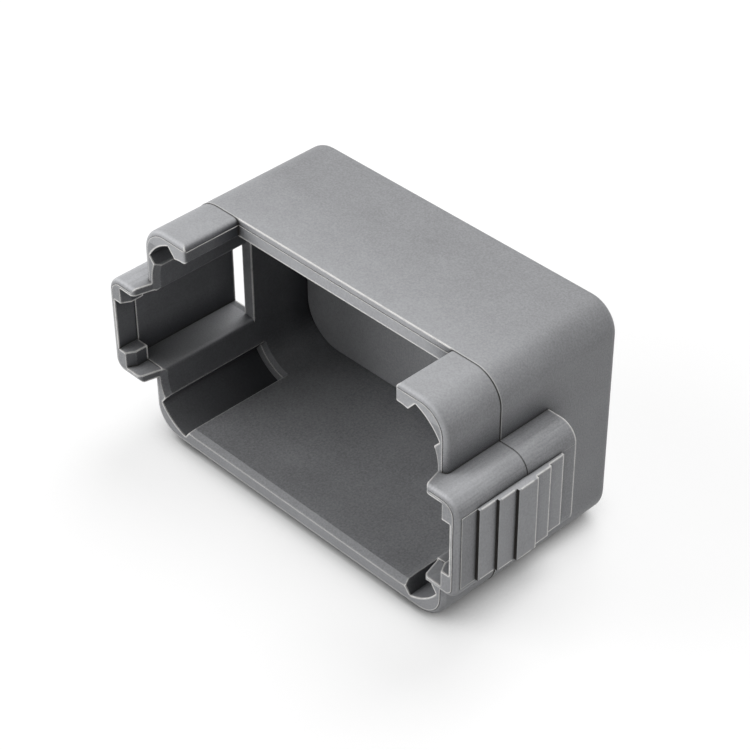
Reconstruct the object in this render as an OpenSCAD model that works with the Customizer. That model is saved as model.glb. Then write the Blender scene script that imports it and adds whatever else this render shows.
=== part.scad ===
// Connector dust cap, moulded in one piece: a closed-back rectangular cover with a cut-back roof,
// four cored-out inside corners and a channel-shaped grip wing on each side.
// Millimetres, +Z up, the mouth faces -Y, the origin lies under the middle of the part.

/* [Body] */
// Overall width over the side walls
body_w = 42.7; // [40:0.1:48]
// Overall height from the underside to the top, without the feet
body_h = 26.4; // [25:0.1:32]
// Depth from the rim of the mouth to the outside of the closed back
body_d = 23.4; // [20:0.1:30]
// Radius of the four long outer corners
corner_r = 3.4; // [3:0.1:4.5]
// Rounding of the edges round the closed back
back_edge_r = 1.0; // [0.6:0.1:1.6]
// Rounding of the outer edges round the mouth
rim_edge_r = 0.55; // [0.3:0.05:0.7]
// Amount by which the skin of the mouth zone lies below the skin behind it
skin_step = 0.05; // [0.02:0.01:0.1]
// Height of the small ledge that the mould's parting line leaves beside the rounded edges
parting_step = 0.06; // [0.02:0.01:0.1]
// Depth of the mouth zone, which is also how far the roof is cut back
mouth_zone = 7.1; // [5:0.1:9]

/* [Cavity] */
// Thickness of the side walls
side_t = 1.45; // [1.2:0.05:1.8]
// Thickness of the roof
roof_t = 2.05; // [1.5:0.05:2.5]
// Thickness of the floor
floor_t = 2.3; // [1.8:0.05:2.8]
// Thickness of the closed back
back_t = 2.75; // [1.6:0.05:3.5]
// Radius of the long inside corners
cavity_r = 4.8; // [4:0.1:5.5]
// Height of the lead-in slope round the inside of the rim
lead_h = 0.4; // [0.2:0.05:0.5]
// Depth of the lead-in slope from the rim
lead_d = 0.75; // [0.4:0.05:1.2]

/* [Roof notch] */
// Width of the notch in the roof, between the two corner lugs
notch_w = 29.4; // [24:0.1:32]
// Height of the upper band round the notch, which holds the rounded top edges of the lugs
notch_band_h = 0.7; // [0.4:0.05:0.8]
// Rounding of the bottom edge of each lug along the notch
lug_low_r = 0.25; // [0.15:0.05:0.5]
// Rounding of the upright front edge of each lug along the notch
lug_front_r = 0.35; // [0.2:0.05:0.5]

/* [Corner pockets] */
// Outer radius of the pockets, about the centres of the inside corners
pocket_r = 6.15; // [5.8:0.05:6.3]
// Width of the two upper pockets across their slanted sides
pocket_top_w = 4.1; // [3:0.05:4.6]
// Direction of the upper pockets, above the horizontal
pocket_top_angle = 49.5; // [45:0.5:55]
// Width of the two lower pockets across their slanted sides
pocket_low_w = 4.4; // [3:0.05:4.8]
// Direction of the lower pockets, below the horizontal
pocket_low_angle = 53.5; // [45:0.5:60]
// Depth of the pockets from the rim
pocket_d = 13.3; // [8:0.1:16]
// Height of the sloped band at the end of each pocket
pocket_end_h = 0.3; // [0.1:0.05:0.4]
// Depth of that sloped band
pocket_end_d = 0.6; // [0.3:0.05:1]

/* [Wings] */
// Distance by which the flat outer faces of the wings stand out from the sides of the body
wing_out = 3.6; // [2.7:0.1:7.6]
// Overall height of each wing
wing_h = 12.1; // [11:0.1:16]
// Clear height of the channel inside each wing
channel_h = 10.0; // [7:0.1:10.2]
// Thickness of the outer wall of each wing
wing_t = 1.05; // [0.9:0.05:1.5]
// Distance by which the wings stand forward of the rim
wing_reach = 2.2; // [1.2:0.1:3]
// Depth from the rim to the back end of the wings
wing_back = 13.7; // [13.5:0.1:16]
// Radius of the top outer corner of each wing
wing_top_r = 2.0; // [1.2:0.1:2.4]
// Radius of the bottom outer corner of each wing
wing_low_r = 1.4; // [1:0.1:2]
// Depth from the rim to the back edge of the window in each side wall
window_d = 12.85; // [8:0.1:13.2]
// Rounding of the inside edge of the window's sill and lintel
window_edge_r = 0.5; // [0.2:0.05:0.7]
// Slant of the wing plates' free edges ahead of the rim, in degrees
wing_slant = 14; // [0:1:25]
// Rounding of the upright edge at the tip of each plate
tip_r = 0.6; // [0.3:0.05:0.8]

/* [Channel mouth] */
// Depth from the rim to the back of the channel's relieved mouth
relief_back = 0.3; // [0.1:0.05:1]
// Amount by which the channel's mouth is relieved
relief_t = 0.12; // [0.05:0.01:0.2]
// Height of the stop blocks in the channel's mouth
block_h = 1.8; // [1:0.05:2.5]
// Width of the stop blocks
block_w = 1.45; // [1.2:0.05:2]
// Width of the cut corner of the stop blocks
block_cut_w = 0.55; // [0.3:0.05:0.8]
// Depth of the cut corner of the stop blocks
block_cut_d = 1.0; // [0.5:0.05:1.4]

/* [Grip] */
// Height of the flat pad that carries the grip steps
grip_pad = 0.06; // [0.03:0.01:0.2]
// Depth from the rim to the foot of the first grip step
grip_start = 0.4; // [0.3:0.05:0.6]
// Spacing of the steps that rise towards the highest one
grip_pitch = 2.3; // [1.8:0.05:2.4]
// Length of the highest step
grip_crest = 2.6; // [2.2:0.05:2.8]
// Spacing of the steps that fall behind the highest one
grip_back_pitch = 2.05; // [1.8:0.05:2.3]
// Height of each grip step
grip_step = 0.3; // [0.2:0.05:0.5]
// Number of steps up to the highest one
grip_steps = 3; // [2:1:3]

/* [Feet] */
// Diameter of the four low feet
foot_dia = 4.4; // [3:0.1:5.2]
// Height of the feet
foot_h = 0.45; // [0.3:0.05:1]
// Distance between the foot centres across the body
foot_span = 32.4; // [26:0.1:33]
// Distance of the feet from the rim and from the back, to their centres
foot_inset = 2.7; // [2.6:0.05:5]
// Chamfer round the underside of the feet
foot_edge = 0.2; // [0.1:0.05:0.25]

/* [Hidden] */
$fn = 96;
over = 1;
mid_z = body_h / 2;
cavity_w = body_w - 2 * side_t;
cavity_d = body_d - back_t;
cavity_top = body_h - roof_t;
inner_x = cavity_w / 2 - cavity_r;
inner_low = floor_t + cavity_r;
inner_high = cavity_top - cavity_r;
wing_low = mid_z - wing_h / 2;
wing_high = mid_z + wing_h / 2;
channel_low = mid_z - channel_h / 2;
channel_high = mid_z + channel_h / 2;
wing_w = body_w + 2 * wing_out;
channel_x = wing_w / 2 - wing_t;
rim_x = cavity_w / 2 + lead_h;
part_shift = [0, (wing_reach - body_d) / 2, foot_h];
color_body = "#7c7e80";

// Extrudes an outline drawn as (x, z) from depth y0 to depth y1
module along_y(y0, y1) {
    translate([0, y1, 0]) rotate([90, 0, 0]) linear_extrude(y1 - y0) children();
}

// Extrudes an outline drawn as (y, z) from x0 to x1
module along_x(x0, x1) {
    translate([x0, 0, 0]) rotate([90, 0, 90]) linear_extrude(x1 - x0) children();
}

// Repeats a shape on both sides of the middle
module both_sides() {
    children();
    mirror([1, 0, 0]) children();
}

// Repeats a shape above and below the middle height
module both_levels() {
    children();
    translate([0, 0, 2 * mid_z]) mirror([0, 0, 1]) children();
}

// What a rounding of radius r leaves of a square corner: the corner is the origin and the solid
// lies towards +x and +y
module corner_waste(r) {
    difference() {
        translate([-over, -over]) square(r + over);
        translate([r, r]) circle(r);
    }
}

// Rounded outline, centred on the middle height, with its own radius at the top and bottom
module rounded_outline(half_w, half_h, top_r, low_r) {
    difference() {
        square([2 * half_w, 2 * half_h], center = true);
        for (side = [0, 1]) mirror([side, 0]) {
            translate([-half_w, -half_h]) corner_waste(low_r);
            translate([-half_w, half_h]) mirror([0, 1]) corner_waste(top_r);
        }
    }
}

// Waste of an edge rounding of radius r round a quarter turn of an outline's corner, radius big_r:
// the centre of the turn is the origin, the face is y = 0 and the solid lies behind it
module turn_waste(big_r, r) {
    rotate([90, 0, 0]) rotate_extrude(angle = 90)
        translate([big_r, 0]) mirror([1, 0]) mirror([0, 1]) corner_waste(r);
}

// Waste of the same rounding along a straight side of length len, upwards from the origin, with
// the side's outer face at x = 0
module side_waste(len, r) {
    linear_extrude(len) mirror([1, 0]) corner_waste(r);
}

// The same along a straight top, from x = 0 back to x = -len
module top_waste(len, r) {
    rotate([0, -90, 0]) side_waste(len, r);
}

// Waste of an edge rounding all round the face y = 0 of a rounded outline
module face_edge_waste(half_w, half_h, big_r, r) {
    flat_w = half_w - big_r;
    flat_h = half_h - big_r;
    for (side = [0, 1], level = [0, 1]) mirror([side, 0, 0]) mirror([0, 0, level])
        translate([flat_w, 0, flat_h]) turn_waste(big_r, r);
    for (side = [0, 1]) mirror([side, 0, 0])
        translate([half_w, 0, -flat_h]) side_waste(2 * flat_h, r);
    for (level = [0, 1]) mirror([0, 0, level])
        translate([flat_w, 0, half_h]) top_waste(2 * flat_w, r);
}

// Outer block behind the mouth zone, with the edges of the closed back rounded
module back_block() {
    difference() {
        along_y(mouth_zone, body_d) rounded_outline(body_w / 2, body_h / 2, corner_r, corner_r);
        translate([0, body_d, 0]) mirror([0, 1, 0])
            face_edge_waste(body_w / 2, body_h / 2, corner_r, back_edge_r);
    }
}

// Outer block of the mouth zone, a little lower all round, with the rim's outer edges rounded
module mouth_block() {
    half_w = body_w / 2 - skin_step;
    half_h = body_h / 2 - skin_step;
    r = corner_r - skin_step;
    difference() {
        along_y(0, mouth_zone + over) rounded_outline(half_w, half_h, r, r);
        translate([0, parting_step, 0]) face_edge_waste(half_w, half_h, r, rim_edge_r);
    }
}

// Part of a cone about a long inside corner, from radius r0 at the rim to r1 at depth d, turning
// upwards from the horizontal
module corner_cone(r0, r1, d, turn) {
    rotate([90, 0, 0]) rotate_extrude(angle = turn)
        polygon([[0, 0], [r0, 0], [r1, -d], [0, -d]]);
}

// Main cavity
module cavity() {
    translate([0, 0, (floor_t + cavity_top) / 2]) along_y(-over, cavity_d)
        rounded_outline(cavity_w / 2, (cavity_top - floor_t) / 2, cavity_r, cavity_r);
}

// Sloped lead-in along the sides, the lower edge and the corners of the mouth; the undersides of
// the two lugs have none
module lead_in() {
    translate([0, 0, inner_low]) linear_extrude(inner_high - inner_low) polygon([
        [-cavity_w / 2 - lead_h, 0], [cavity_w / 2 + lead_h, 0],
        [cavity_w / 2, lead_d], [-cavity_w / 2, lead_d]]);
    along_x(-inner_x, inner_x) polygon([
        [0, floor_t - lead_h], [lead_d, floor_t], [lead_d, inner_low], [0, inner_low]]);
    both_sides() {
        translate([inner_x, 0, inner_high])
            corner_cone(cavity_r + lead_h, cavity_r, lead_d, pocket_top_angle);
        translate([inner_x, 0, inner_low]) mirror([0, 0, 1])
            corner_cone(cavity_r + lead_h, cavity_r, lead_d, 90);
    }
}

// Slanted slot that bounds a pocket, drawn from the centre of an inside corner
module pocket_slot(slot_w, slot_angle) {
    intersection() {
        circle(pocket_r);
        rotate(slot_angle) translate([0, -slot_w / 2]) square([pocket_r + over, slot_w]);
    }
}

// One pocket, cored out of the thick corner from the rim inwards, with a sloped band at its end
module pocket(slot_w, slot_angle) {
    along_y(-over, pocket_d) pocket_slot(slot_w, slot_angle);
    intersection() {
        along_y(pocket_d - over, pocket_d + pocket_end_d) pocket_slot(slot_w, slot_angle);
        translate([0, pocket_d, 0])
            corner_cone(cavity_r + pocket_end_h, cavity_r, pocket_end_d, 90);
    }
}

// The four pockets
module pockets() {
    both_sides() {
        translate([inner_x, 0, inner_high]) pocket(pocket_top_w, pocket_top_angle);
        translate([inner_x, 0, inner_low]) mirror([0, 0, 1])
            pocket(pocket_low_w, pocket_low_angle);
    }
}

// Roof notch: below the upper band, with the rounded top edges of the lugs, a fine ledge runs
// round it
module roof_notch() {
    notch_x = notch_w / 2;
    back_y = mouth_zone - parting_step;
    along_y(-over, back_y)
        translate([-notch_x, inner_high]) square([notch_w, body_h - inner_high + over]);
    along_y(-over, mouth_zone)
        translate([-notch_x, body_h - notch_band_h]) square([notch_w, notch_band_h + over]);
    both_sides() {
        along_y(-over, mouth_zone) translate([notch_x + parting_step, body_h - skin_step])
            mirror([0, 1]) corner_waste(notch_band_h - skin_step);
        along_y(-over, back_y) translate([notch_x, cavity_top]) corner_waste(lug_low_r);
        translate([notch_x, 0, inner_high])
            linear_extrude(body_h - inner_high + over) corner_waste(lug_front_r);
    }
}

// Outer form of a wing from depth y0 to y1, with its skin lowered by inset
module wing_form(inset, y0, y1) {
    half_h = wing_h / 2 - inset;
    outer = wing_w / 2 - inset;
    along_y(y0, y1) translate([0, mid_z]) intersection() {
        rounded_outline(outer, half_h, wing_top_r - inset, wing_low_r - inset);
        translate([rim_x, -half_h]) square([outer, 2 * half_h]);
    }
}

// Waste of the rounding round the front edge of a wing
module wing_front_waste() {
    outer = wing_w / 2 - skin_step;
    top_r = wing_top_r - skin_step;
    low_r = wing_low_r - skin_step;
    high = wing_high - skin_step;
    low = wing_low + skin_step;
    translate([0, parting_step - wing_reach, 0]) {
        translate([outer - top_r, 0, high - top_r]) turn_waste(top_r, rim_edge_r);
        translate([outer - low_r, 0, low + low_r]) mirror([0, 0, 1]) turn_waste(low_r, rim_edge_r);
        translate([outer, 0, low + low_r]) side_waste(high - low - top_r - low_r, rim_edge_r);
        translate([outer - top_r, 0, high]) top_waste(wing_t + channel_x - inner_x, rim_edge_r);
        translate([outer - low_r, 0, low]) mirror([0, 0, 1])
            top_waste(wing_t + channel_x - inner_x, rim_edge_r);
    }
}

// Channel of a wing, open at both ends and towards the cavity, with its relieved mouth
module wing_channel() {
    along_y(-wing_reach - over, wing_back + over)
        translate([inner_x, channel_low]) square([channel_x - inner_x, channel_h]);
    channel_relief();
}

// Relief of the channel's mouth
module channel_relief() {
    along_y(-wing_reach - over, relief_back)
        translate([inner_x, channel_low - relief_t])
            square([channel_x - inner_x + relief_t, channel_h + 2 * relief_t]);
}

// Waste that slants the free edges of the wing plates ahead of the rim and rounds their tips
module wing_slant_waste() {
    slant = wing_reach * tan(wing_slant);
    tip_x = rim_x + slant;
    run = tip_r * tan(45 - wing_slant / 2);
    mid = [tip_x + run, tip_r - wing_reach];
    touch = [tip_x - run * sin(wing_slant), run * cos(wing_slant) - wing_reach];
    translate([0, 0, wing_low - over]) linear_extrude(wing_h + 2 * over) {
        polygon([
            [inner_x, 0], [rim_x, 0], [tip_x, -wing_reach],
            [tip_x, -wing_reach - over], [inner_x, -wing_reach - over]]);
        difference() {
            polygon([
                mid, touch, [touch[0] - over / 2, touch[1]],
                [touch[0] - over / 2, -wing_reach - over], [mid[0], -wing_reach - over]]);
            translate(mid) circle(tip_r);
        }
    }
}

// Stop block on the lower plate in the channel's mouth
module stop_block() {
    inner = channel_x - block_w;
    root = wing_t / 4;
    outer = channel_x + root;
    translate([0, 0, channel_low - root]) linear_extrude(block_h + root) polygon([
        [inner + block_cut_w, -wing_reach], [outer, -wing_reach], [outer, relief_back],
        [inner, relief_back], [inner, -wing_reach + block_cut_d]]);
}

// Finger grip: a flat pad with steps that rise towards the highest one and fall behind it
module grip() {
    low = wing_low + wing_low_r;
    high = wing_high - wing_top_r;
    root = channel_x + wing_t / 2;
    pad_face = wing_w / 2 - skin_step + grip_pad;
    crest = grip_start + (grip_steps - 1) * grip_pitch;
    pad_front = rim_edge_r + parting_step - wing_reach;
    translate([root, pad_front, low]) cube([pad_face - root, wing_back - pad_front, high - low]);
    for (level = [1:grip_steps]) {
        front = grip_start + (level - 1) * grip_pitch;
        back = crest + grip_crest + (grip_steps - level) * grip_back_pitch;
        translate([root, front, low])
            cube([pad_face + level * grip_step - root, back - front, high - low]);
    }
}

// One whole wing
module wing() {
    difference() {
        union() {
            difference() {
                union() {
                    wing_form(0, mouth_zone, wing_back);
                    wing_form(skin_step, -wing_reach, mouth_zone + over);
                    grip();
                }
                wing_channel();
                wing_slant_waste();
            }
            both_levels() stop_block();
        }
        wing_front_waste();
    }
}

// Window that opens each side wall into the channel of its wing
module window() {
    along_y(-over, window_d)
        translate([inner_x, channel_low]) square([body_w / 2 + over - inner_x, channel_h]);
}

// Waste that rounds the inside edges of the window's sill and lintel
module window_edge_waste() {
    along_y(0, window_d) {
        translate([cavity_w / 2, channel_low]) mirror([0, 1]) corner_waste(window_edge_r);
        translate([cavity_w / 2, channel_high]) corner_waste(window_edge_r);
    }
}

// Body with everything that is cored out of it
module body() {
    difference() {
        union() {
            translate([0, 0, mid_z]) back_block();
            translate([0, 0, mid_z]) mouth_block();
        }
        cavity();
        lead_in();
        pockets();
        roof_notch();
        both_sides() {
            window();
            channel_relief();
        }
    }
}

// Four low feet under the floor
module feet() {
    for (side = [-1, 1], depth = [foot_inset, body_d - foot_inset])
        translate([side * foot_span / 2, depth, -foot_h]) {
            cylinder(h = foot_edge, d1 = foot_dia - 2 * foot_edge, d2 = foot_dia);
            translate([0, 0, foot_edge]) cylinder(h = foot_h - foot_edge + floor_t / 2, d = foot_dia);
        }
}

module dust_cap() {
    color(color_body) translate(part_shift) {
        difference() {
            union() {
                body();
                both_sides() wing();
            }
            both_sides() window_edge_waste();
        }
        feet();
    }
}

dust_cap();
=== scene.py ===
"""Moulded connector dust cap: camera, light, floor and the plastic's surface."""
import bpy
import math
from mathutils import Matrix, Vector

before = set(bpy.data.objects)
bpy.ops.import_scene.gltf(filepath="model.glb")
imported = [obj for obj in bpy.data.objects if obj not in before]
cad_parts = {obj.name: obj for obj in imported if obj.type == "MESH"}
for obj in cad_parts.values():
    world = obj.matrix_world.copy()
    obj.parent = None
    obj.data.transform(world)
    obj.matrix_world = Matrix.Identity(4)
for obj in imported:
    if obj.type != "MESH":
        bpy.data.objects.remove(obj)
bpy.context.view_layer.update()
scene = bpy.context.scene
MM = 0.001


def mm(*lengths):
    """Lengths given in millimetres, in metres."""
    return tuple(length * MM for length in lengths)


# Camera, as the photograph was taken
IMAGE_PX = 750
FOCAL_PX = 2248.3
SENSOR_MM = 36.0
CLIP_START, CLIP_END = 0.01, 10.0
AZIMUTH = math.radians(46.175)
ELEVATION = math.radians(38.226)
ROLL = math.radians(-0.36)
CAMERA_AT = Vector((0.12823, -0.12205, 0.1529))

right = Vector((math.cos(AZIMUTH), math.sin(AZIMUTH), 0.0))
back = Vector((
    math.sin(AZIMUTH) * math.cos(ELEVATION),
    -math.cos(AZIMUTH) * math.cos(ELEVATION),
    math.sin(ELEVATION)))
up = back.cross(right)
cam_right = right * math.cos(ROLL) + up * math.sin(ROLL)
cam_up = up * math.cos(ROLL) - right * math.sin(ROLL)
cam_data = bpy.data.cameras.new("camera")
cam_data.sensor_width = SENSOR_MM
cam_data.lens = FOCAL_PX * SENSOR_MM / IMAGE_PX
cam_data.clip_start = CLIP_START
cam_data.clip_end = CLIP_END
camera = bpy.data.objects.new("camera", cam_data)
cam_axes = Matrix((cam_right, cam_up, back)).transposed().to_4x4()
camera.matrix_world = Matrix.Translation(CAMERA_AT) @ cam_axes
scene.collection.objects.link(camera)
scene.camera = camera

# A Mix node's colour sockets: its other kinds of socket have the same names, so they go by number
MIX_FACTOR, MIX_A, MIX_B, MIX_RESULT = 0, 6, 7, 2


class Nodes:
    """Short ways to add nodes to one tree; a socket or a plain value can feed any input."""

    def __init__(self, tree):
        self.tree = tree
        tree.nodes.clear()

    def feed(self, socket, value):
        if isinstance(value, bpy.types.NodeSocket):
            self.tree.links.new(value, socket)
        else:
            socket.default_value = value

    def add(self, kind, inputs=None, **settings):
        made = self.tree.nodes.new(kind)
        for key, value in settings.items():
            setattr(made, key, value)
        for key, value in (inputs or {}).items():
            self.feed(made.inputs[key], value)
        return made

    def single(self, operation, value):
        """An operation on one value."""
        return self.add("ShaderNodeMath", {0: value}, operation=operation).outputs[0]

    def join(self, operation, first, *others):
        """Joins two or more values by one operation, in their order."""
        for other in others:
            made = self.add("ShaderNodeMath", {0: first, 1: other}, operation=operation)
            first = made.outputs[0]
        return first

    def times(self, *values):
        return self.join("MULTIPLY", *values)

    def total(self, *values):
        return self.join("ADD", *values)

    def most(self, *values):
        return self.join("MAXIMUM", *values)

    def least(self, *values):
        return self.join("MINIMUM", *values)

    def past(self, value, start):
        """How far a value lies past a start, below zero when it lies before it."""
        return self.join("SUBTRACT", value, start)

    def rest(self, value):
        """What a value leaves of 1."""
        return self.join("SUBTRACT", 1.0, value)

    def length(self, a, b):
        """The length of a flat vector."""
        squares = self.total(self.join("POWER", a, 2.0), self.join("POWER", b, 2.0))
        return self.single("SQRT", squares)

    def ramp(self, value, low, high, to_low=0.0, to_high=1.0, smooth=True):
        """Maps low..high to to_low..to_high and holds the ends."""
        inputs = {"Value": value, "From Min": low, "From Max": high,
                  "To Min": to_low, "To Max": to_high}
        kind = "SMOOTHSTEP" if smooth else "LINEAR"
        made = self.add("ShaderNodeMapRange", inputs, interpolation_type=kind)
        return made.outputs["Result"]

    def slide(self, mask, off, on):
        """Goes evenly from off to on as a mask goes from 0 to 1."""
        return self.ramp(mask, 0.0, 1.0, off, on, smooth=False)

    def vary(self, noise, by, low=0.3, high=0.7):
        """Turns a noise's usual range into -by..by."""
        return self.ramp(noise, low, high, -by, by, smooth=False)

    def near(self, value, at, half):
        """1 at a position, falling to 0 at half either side of it."""
        return self.ramp(self.single("ABSOLUTE", self.past(value, at)), half, 0.0)

    def mix(self, factor, a, b):
        """Mixes two colours."""
        made = self.add("ShaderNodeMix", data_type="RGBA")
        self.feed(made.inputs[MIX_FACTOR], factor)
        self.feed(made.inputs[MIX_A], a)
        self.feed(made.inputs[MIX_B], b)
        return made.outputs[MIX_RESULT]

    def scale(self, colour, factor):
        """Multiplies a colour by a number."""
        made = self.add("ShaderNodeVectorMath", {0: colour[:3]}, operation="SCALE")
        self.feed(made.inputs["Scale"], factor)
        return made.outputs[0]

    def stretch(self, vector, by):
        """Scales a vector along its axes."""
        return self.add("ShaderNodeVectorMath", {0: vector, 1: by}, operation="MULTIPLY").outputs[0]

    def noise(self, vector, scale, detail, roughness):
        inputs = {"Vector": vector, "Scale": scale, "Detail": detail, "Roughness": roughness}
        return self.add("ShaderNodeTexNoise", inputs).outputs[0]

    def split(self, vector):
        """The three parts of a vector."""
        return tuple(self.add("ShaderNodeSeparateXYZ", {0: vector}).outputs)

    def open_by(self, reach, samples, inside=False, only_local=True):
        """1 where nothing stands within the reach, falling to 0 where it is closed in."""
        made = self.add("ShaderNodeAmbientOcclusion", {"Distance": reach}, samples=samples,
                        inside=inside, only_local=only_local)
        return made.outputs["AO"]


def new_material(name):
    made = bpy.data.materials.new(name)
    made.use_nodes = True
    return made, Nodes(made.node_tree)


# Plastic: self-coloured grey with fine eroded grain, painted highlights and painted shade in
# creases
GREY = (0.275, 0.278, 0.288, 1.0)
# Pale colour for painted highlights along convex edges and behind the seam
PAINTED_HIGHLIGHT = (0.85, 0.84, 0.82, 1.0)
# Dark brownish colour for painted shade in creases, on grip steps, at the seam and below
DARK_SHADE = (0.024, 0.021, 0.018, 1.0)
SHADE = (0.018, 0.020, 0.025, 1.0)

plastic, n = new_material("grey_moulded_plastic")
place = n.add("ShaderNodeTexCoord").outputs["Object"]
x, y, z = n.split(place)
face_x, face_y, face_z = n.split(n.add("ShaderNodeNewGeometry").outputs["True Normal"])

# Where the surface is and how it faces: in each pair, a mask is empty at the first and full at the
# second. SKIN_R counts from the centres of the body's rounded corners, levels from its mid height.
MID_Z = 13.65 * MM
CORNER_X, CORNER_Z = mm(17.95, 9.8)
SKIN_R = mm(2.4, 2.9)
CHANNEL_SIDE, CHANNEL_LEVEL, CHANNEL_Y = mm(23.94, 23.92), mm(5.05, 5.02), mm(2.36, 2.32)
WING_SIDE = mm(21.3, 21.5)
GRIP_SIDE = mm(24.97, 25.0)
ROOF_Z = mm(24.75, 24.85)
FRONT_FACE = (-0.5, -0.8)
UP_FACE = (0.3, 0.85)
WING_FACE = (0.15, 0.4)
INWARD_FACE = (-0.5, -0.95)

side = n.single("ABSOLUTE", x)
level = n.single("ABSOLUTE", n.past(z, MID_Z))
past_side = n.past(side, CORNER_X)
past_level = n.past(level, CORNER_Z)
past_corner = n.length(n.most(past_side, 0.0), n.most(past_level, 0.0))
from_corner = n.total(past_corner, n.least(n.most(past_side, past_level), 0.0))
in_channel = n.times(n.ramp(side, *CHANNEL_SIDE), n.ramp(level, *CHANNEL_LEVEL),
                     n.ramp(y, *CHANNEL_Y))
skin = n.times(n.ramp(from_corner, *SKIN_R), n.rest(in_channel))
front_facing = n.ramp(face_y, *FRONT_FACE)
upwards = n.ramp(face_z, *UP_FACE)
inward = n.ramp(n.times(face_x, n.single("SIGN", x)), *INWARD_FACE)
on_wing = n.times(n.ramp(side, *WING_SIDE), n.ramp(face_z, *WING_FACE))
on_grip = n.ramp(side, *GRIP_SIDE)
in_roof = n.ramp(z, *ROOF_Z)

# Grain, mottling, clouds, the flow streaks on the wings and the coarser grain in the cavity
GRAIN_TONE, MOTTLE_TONE, CLOUD_TONE = 0.13, 0.07, 0.03
STREAK_TONE, LEATHER_TONE = 0.09, 0.11
CLOSE_RANGE = (0.35, 0.65)
ALONG_Y = (1.0, 0.06, 1.0)
A_LITTLE_ALONG_Y = (1.0, 0.75, 1.0)
CAVITY_FLOOR_Z = mm(4.0, 3.5)
FLAT_UP_FACE = (0.95, 0.98)

grain = n.noise(place, scale=5200.0, detail=2.0, roughness=0.6)
mottle = n.noise(place, scale=260.0, detail=4.0, roughness=0.6)
cloud = n.noise(place, scale=70.0, detail=2.0, roughness=0.5)
streak = n.noise(n.stretch(place, ALONG_Y), scale=4200.0, detail=2.0, roughness=0.55)
leather = n.noise(n.stretch(place, A_LITTLE_ALONG_Y), scale=4300.0, detail=3.0, roughness=0.65)
cavity_floor = n.times(n.ramp(face_z, *FLAT_UP_FACE), n.ramp(z, *CAVITY_FLOOR_Z))
speckle = n.total(n.vary(grain, GRAIN_TONE), n.vary(mottle, MOTTLE_TONE),
                  n.vary(cloud, CLOUD_TONE),
                  n.times(on_wing, skin, n.vary(streak, STREAK_TONE, *CLOSE_RANGE)),
                  n.times(cavity_floor, n.vary(leather, LEATHER_TONE, *CLOSE_RANGE)))

# Painted light and highlights: paler wings' tops, window sills, front fillets, grips, the skin
# towards the mouth, and the front faces high up. A TONE pair belongs to the ends of the range
# before it.
CROWN_FACE = (0.3, 0.8)
CROWN_Y, CROWN_TONE = mm(0.0, -3.0), (0.05, 0.13)
SILL_Z, SILL_TONE = mm(8.0, 8.5), (0.0, 0.7)
SILL_Y, SILL_SHARE = mm(-10.0, -1.0), (0.15, 1.0)
FILLET_AT, FILLET_HALF = -0.55, 0.45
FILLET_FACE, FILLET_TONE = (-0.3, 0.0), (0.0, 0.35)
GRIP_TONE = 0.30
MOUTH_Y, MOUTH_TONE = mm(10.0, -11.5), (-0.04, 0.36)
HIGH_Z, HIGH_TONE = mm(18.0, 21.0), (0.0, 0.45)

crown_light = n.times(on_wing, n.ramp(face_z, *CROWN_FACE), skin, n.ramp(y, *CROWN_Y, *CROWN_TONE))
sill_light = n.times(upwards, n.rest(skin), n.ramp(z, *SILL_Z, *SILL_TONE),
               n.ramp(y, *SILL_Y, *SILL_SHARE))
fillet_highlight = n.times(skin, n.near(face_y, FILLET_AT, FILLET_HALF),
                 n.ramp(face_z, *FILLET_FACE, *FILLET_TONE))
mouth_light = n.times(skin, upwards, n.ramp(y, *MOUTH_Y, *MOUTH_TONE))
high_front_light = n.times(n.most(skin, in_roof), front_facing, n.ramp(z, *HIGH_Z, *HIGH_TONE))
grain_and_painted_light = n.total(speckle, fillet_highlight, crown_light, sill_light, n.times(on_grip, GRIP_TONE), mouth_light, high_front_light)
colour = n.scale(GREY, n.total(grain_and_painted_light, 1.0))

# Painted highlights: pale lines along convex edges, a little uneven
EDGE_REACH, EDGE_SAMPLES = 0.26 * MM, 10
EDGE_OPEN = (0.91, 0.67)
UNEVEN_RANGE, UNEVEN_SHARE = (0.25, 0.55), (0.6, 1.0)

uneven = n.noise(place, scale=900.0, detail=3.0, roughness=0.65)
edge = n.times(n.ramp(n.open_by(EDGE_REACH, EDGE_SAMPLES, inside=True), *EDGE_OPEN),
               n.ramp(uneven, *UNEVEN_RANGE, *UNEVEN_SHARE))

# The front edges of the grips' steps, and the ledge beside the seam, have little of the painted
# highlight
STEP_Y, STEP_PITCH = mm(-10.2, 2.3)
STEP_EDGE, STEP_END_Y, STEP_LOSS = mm(0.30, 0.24), mm(-4.9, -5.0), 0.85
NOTCH_X = 14.7 * MM
LEDGE_Y, LEDGE_HALF = mm(-3.4, 0.4)
LEDGE_SIDE, LEDGE_LOSS = mm(20.0, 21.6), (0.35, 1.0)
PAST_NOTCH = mm(14.7, 14.8)

step_at = n.join("PINGPONG", n.past(y, STEP_Y), STEP_PITCH / 2)
step_edge = n.times(n.ramp(step_at, *STEP_EDGE), n.ramp(y, *STEP_END_Y))
ledge = n.times(n.near(y, LEDGE_Y, LEDGE_HALF), n.ramp(side, *LEDGE_SIDE, *LEDGE_LOSS))
edge = n.times(edge, n.rest(n.times(step_edge, on_grip, STEP_LOSS)),
               n.rest(n.times(ledge, n.ramp(side, *PAST_NOTCH))))

# Painted shade in creases, and softer painted shade beside taller walls, less of both on faces that
# look up and next to none on the front faces inside
CREASE_REACH, CREASE_SAMPLES = 0.6 * MM, 8
CREASE_OPEN, CREASE_BY_UP = (0.90, 0.52), (1.0, 0.2)
WALL_REACH, WALL_SAMPLES = 3.6 * MM, 5
WALL_OPEN, WALL_BY_UP = (0.98, 0.64), (0.82, 0.05)
FRONT_LOSS = 0.95

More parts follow.
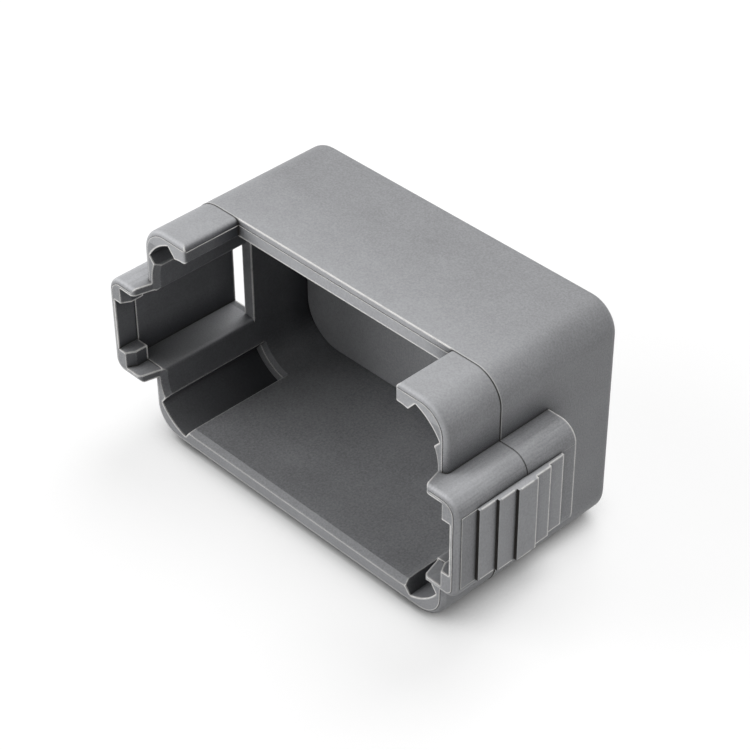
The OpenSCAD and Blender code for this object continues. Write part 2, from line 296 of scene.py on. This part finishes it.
inside_front = n.times(front_facing, n.rest(n.most(skin, in_roof)))
turned = n.rest(n.times(inside_front, FRONT_LOSS))
crease_shade = n.times(n.ramp(n.open_by(CREASE_REACH, CREASE_SAMPLES), *CREASE_OPEN), turned,
                 n.slide(upwards, *CREASE_BY_UP))
by_wall = n.times(n.ramp(n.open_by(WALL_REACH, WALL_SAMPLES), *WALL_OPEN),
                  n.slide(upwards, *WALL_BY_UP), turned)

# Broad shade: deep in the cavity, on faces that look inwards, in the four corner pockets, along
# the back wall and on the sides of the roof's notch
DEEP_REACH, DEEP_SAMPLES = 12.0 * MM, 5
DEEP_OPEN, DEEP_SHADE = (0.70, 0.20), (0.0, 0.65)
INWARD_SHADE = 0.55
CAVITY_X, CAVITY_Z = mm(15.1, 6.1)
POCKET_R, POCKET_BOTH, POCKET_Y = mm(4.95, 5.25), mm(0.6, 1.2), mm(3.6, 3.4)
POCKET_SHADE_Y, POCKET_SHADE = mm(-10.6, 1.5), (0.35, 0.85)
HIGH_POCKET_Z, HIGH_POCKET_SHADE = mm(18.0, 19.0), (0.0, 0.65)
BACK_WALL_Y = mm(5.0, 6.0)
BACK_WALL_X, BACK_WALL_SHADE = mm(-2.0, 10.0), (0.0, 0.70)
NOTCH_HALF = 0.5 * MM
NOTCH_Y, NOTCH_SHADE = mm(-9.5, -3.5), (0.45, 0.85)

deep = n.times(n.ramp(n.open_by(DEEP_REACH, DEEP_SAMPLES), *DEEP_OPEN, *DEEP_SHADE), turned)
pocket_side = n.most(n.past(side, CAVITY_X), 0.0)
pocket_level = n.most(n.past(level, CAVITY_Z), 0.0)
in_pocket = n.times(n.ramp(n.length(pocket_side, pocket_level), *POCKET_R),
                    n.ramp(n.least(pocket_side, pocket_level), *POCKET_BOTH),
                    n.rest(skin), n.rest(front_facing), n.ramp(y, *POCKET_Y))
pocket = n.times(in_pocket,
                 n.most(n.ramp(y, *POCKET_SHADE_Y, *POCKET_SHADE, smooth=False),
                        n.ramp(z, *HIGH_POCKET_Z, *HIGH_POCKET_SHADE)))
back_wall = n.times(inside_front, n.ramp(y, *BACK_WALL_Y),
                    n.ramp(x, *BACK_WALL_X, *BACK_WALL_SHADE))
notch_side = n.times(inward, n.near(side, NOTCH_X, NOTCH_HALF),
                     n.ramp(y, *NOTCH_Y, *NOTCH_SHADE))
deep = n.most(deep, n.times(inward, INWARD_SHADE), pocket, back_wall, notch_side)

# Painted shade on the grips' step faces, and painted shade on the underside close to the floor
STEP_FACE_DARK = 0.9
UNDER_FACE = (0.0, -0.7)
UNDER_Z, UNDER_DARK = mm(1.6, 1.0), (0.0, 0.8)

step_face_shade = n.times(on_grip, front_facing, STEP_FACE_DARK)
under_shade = n.times(n.ramp(face_z, *UNDER_FACE), n.ramp(z, *UNDER_Z, *UNDER_DARK))

# Mould seam: a line of painted shade with a painted highlight behind it, strongest down the sides.
# It leaves out the roof's notch, the front faces and the grips, and on the wings it is fainter and
# has no highlight.
SEAM_DARK_Y, SEAM_DARK_HALF = mm(-3.55, 0.12)
SEAM_PALE_Y, SEAM_PALE_HALF = mm(-3.42, 0.09)
SEAM_NOTCH_SIDE, SEAM_NOTCH_Z = mm(14.73, 14.7), mm(13.65, 14.65)
SEAM_SIDE, SEAM_BY_SIDE = mm(18.0, 21.0), (0.75, 1.0)
SEAM_WING_SIDE, SEAM_BY_WING, SEAM_SHINE = mm(21.4, 21.5), (1.0, 0.6), (0.35, 0.0)

by_notch = n.times(n.ramp(side, *SEAM_NOTCH_SIDE), n.ramp(z, *SEAM_NOTCH_Z))
seam_on = n.times(skin, n.rest(by_notch), n.rest(n.most(front_facing, on_grip)))
seam_depth = n.times(n.ramp(side, *SEAM_SIDE, *SEAM_BY_SIDE),
                     n.ramp(side, *SEAM_WING_SIDE, *SEAM_BY_WING))
seam_shade = n.times(n.near(y, SEAM_DARK_Y, SEAM_DARK_HALF), seam_on, seam_depth)
seam_highlight = n.times(n.near(y, SEAM_PALE_Y, SEAM_PALE_HALF), seam_on,
                    n.ramp(side, *SEAM_WING_SIDE, *SEAM_SHINE))

# The colour, from the broad shade to the fine lines
EDGE_STRENGTH = 0.95
CREASE_STRENGTH = 0.95

colour = n.mix(by_wall, colour, SHADE)
colour = n.mix(deep, colour, SHADE)
colour = n.mix(n.most(n.times(edge, EDGE_STRENGTH), seam_highlight), colour, PAINTED_HIGHLIGHT)
dark = n.most(n.times(crease_shade, CREASE_STRENGTH), step_face_shade, seam_shade, under_shade)
colour = n.mix(dark, colour, DARK_SHADE)

# The finish: half matt, with the grain as a fine relief
MOTTLE_RANGE, ROUGHNESS = (0.3, 0.7), (0.50, 0.62)
PLASTIC_IOR = 1.48
SPECULAR_LEVEL = 0.3
RELIEF_STRENGTH, RELIEF_HEIGHT = 0.35, 0.03 * MM

gloss = n.ramp(mottle, *MOTTLE_RANGE, *ROUGHNESS, smooth=False)
bump = n.add("ShaderNodeBump", {"Height": grain, "Strength": RELIEF_STRENGTH,
                                "Distance": RELIEF_HEIGHT})
shader = n.add("ShaderNodeBsdfPrincipled", {
    "Base Color": colour, "Roughness": gloss, "IOR": PLASTIC_IOR,
    "Specular IOR Level": SPECULAR_LEVEL, "Normal": bump.outputs["Normal"]})
n.add("ShaderNodeOutputMaterial", {"Surface": shader.outputs["BSDF"]})

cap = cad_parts["dust_cap"]
cap.data.materials.clear()
cap.data.materials.append(plastic)

# Floor: a large white square
FLOOR_HALF = 2.0
floor_mesh = bpy.data.meshes.new("floor")
corners = [(-FLOOR_HALF, -FLOOR_HALF, 0), (FLOOR_HALF, -FLOOR_HALF, 0),
           (FLOOR_HALF, FLOOR_HALF, 0), (-FLOOR_HALF, FLOOR_HALF, 0)]
floor_mesh.from_pydata(corners, [], [(0, 1, 2, 3)])
floor = bpy.data.objects.new("floor", floor_mesh)
scene.collection.objects.link(floor)

# Its material: a plain grey for the light that falls on other things. Seen directly it also glows,
# to white in the open, less near the part and not at all in the gap under it, a painted contact
# shadow. Beside the right side's back it keeps more of its glow, so less of that painted shadow.
WHITE = (1.0, 1.0, 1.0, 1.0)
FLOOR_LIT = (0.55, 0.55, 0.55, 1.0)
FLOOR_SEEN = (0.32, 0.32, 0.32, 1.0)
CONTACT_REACH, CONTACT_SAMPLES = 5.0 * MM, 6
CONTACT_OPEN, CONTACT_SHUT = (0.12, 0.85), (1.0, 0.0)
GAP_REACH, GAP_SAMPLES = 0.9 * MM, 4
GAP_OPEN = (0.30, 0.62)
BESIDE_X, BESIDE_Y, BESIDE_SHARE = mm(19.0, 22.5), mm(0.0, 5.0), (1.0, 0.25)
GLOW = (0.72, 0.0)


def seen_directly(nodes):
    """1 for rays from the camera, reflected or let through, 0 for light falling on things."""
    path = nodes.add("ShaderNodeLightPath").outputs
    return nodes.most(path["Is Camera Ray"], path["Is Glossy Ray"], path["Is Transmission Ray"])


floor_mat, n = new_material("pale_floor")
lit = n.add("ShaderNodeBsdfDiffuse", {"Color": FLOOR_LIT}).outputs[0]
lit_seen = n.add("ShaderNodeBsdfDiffuse", {"Color": FLOOR_SEEN}).outputs[0]
ground_x, ground_y = n.split(n.add("ShaderNodeTexCoord").outputs["Object"])[:2]
beside = n.times(n.ramp(ground_x, *BESIDE_X), n.ramp(ground_y, *BESIDE_Y))
around = n.open_by(CONTACT_REACH, CONTACT_SAMPLES, only_local=False)
contact_shade = n.ramp(around, *CONTACT_OPEN, *CONTACT_SHUT, smooth=False)
glow = n.slide(n.times(contact_shade, n.slide(beside, *BESIDE_SHARE)), *GLOW)
gap = n.open_by(GAP_REACH, GAP_SAMPLES, only_local=False)
glow = n.times(glow, n.ramp(gap, *GAP_OPEN))
glowing = n.add("ShaderNodeEmission", {"Color": WHITE, "Strength": glow}).outputs[0]
white = n.add("ShaderNodeAddShader", {0: lit_seen, 1: glowing}).outputs[0]
floor_shader = n.add("ShaderNodeMixShader", {0: seen_directly(n), 1: lit, 2: white})
n.add("ShaderNodeOutputMaterial", {"Surface": floor_shader.outputs[0]})
floor_mesh.materials.append(floor_mat)

# World: white where it is seen directly or mirrored, and it casts no light otherwise
world = bpy.data.worlds.new("world")
scene.world = world
world.use_nodes = True
n = Nodes(world.node_tree)
backdrop = n.add("ShaderNodeBackground", {"Color": WHITE, "Strength": seen_directly(n)})
n.add("ShaderNodeOutputWorld", {"Surface": backdrop.outputs[0]})

# Lamps: name, turn from +X and height in degrees, and power in watts
LAMPS = (
    ("high_back_left", 105.0, 58.0, 6.45),
    ("low_right", 0.0, 24.0, 2.1),
    ("low_front_left", 225.0, 24.0, 6.2),
    ("low_front", 270.0, 24.0, 1.3),
)
LAMP_AIM = Vector((0.0, 0.0, 0.012))
LAMP_AWAY = 0.9
LAMP_SIZE = 0.6

for name, turn, height, power in LAMPS:
    turn, height = math.radians(turn), math.radians(height)
    towards = Vector((math.cos(turn) * math.cos(height), math.sin(turn) * math.cos(height),
                      math.sin(height)))
    lamp_data = bpy.data.lights.new(name, "AREA")
    lamp_data.shape = "SQUARE"
    lamp_data.size = LAMP_SIZE
    lamp_data.energy = power
    lamp = bpy.data.objects.new(name, lamp_data)
    lamp.location = LAMP_AIM + towards * LAMP_AWAY
    lamp.rotation_euler = towards.to_track_quat("Z", "Y").to_euler()
    scene.collection.objects.link(lamp)

scene.view_settings.view_transform = "Standard"
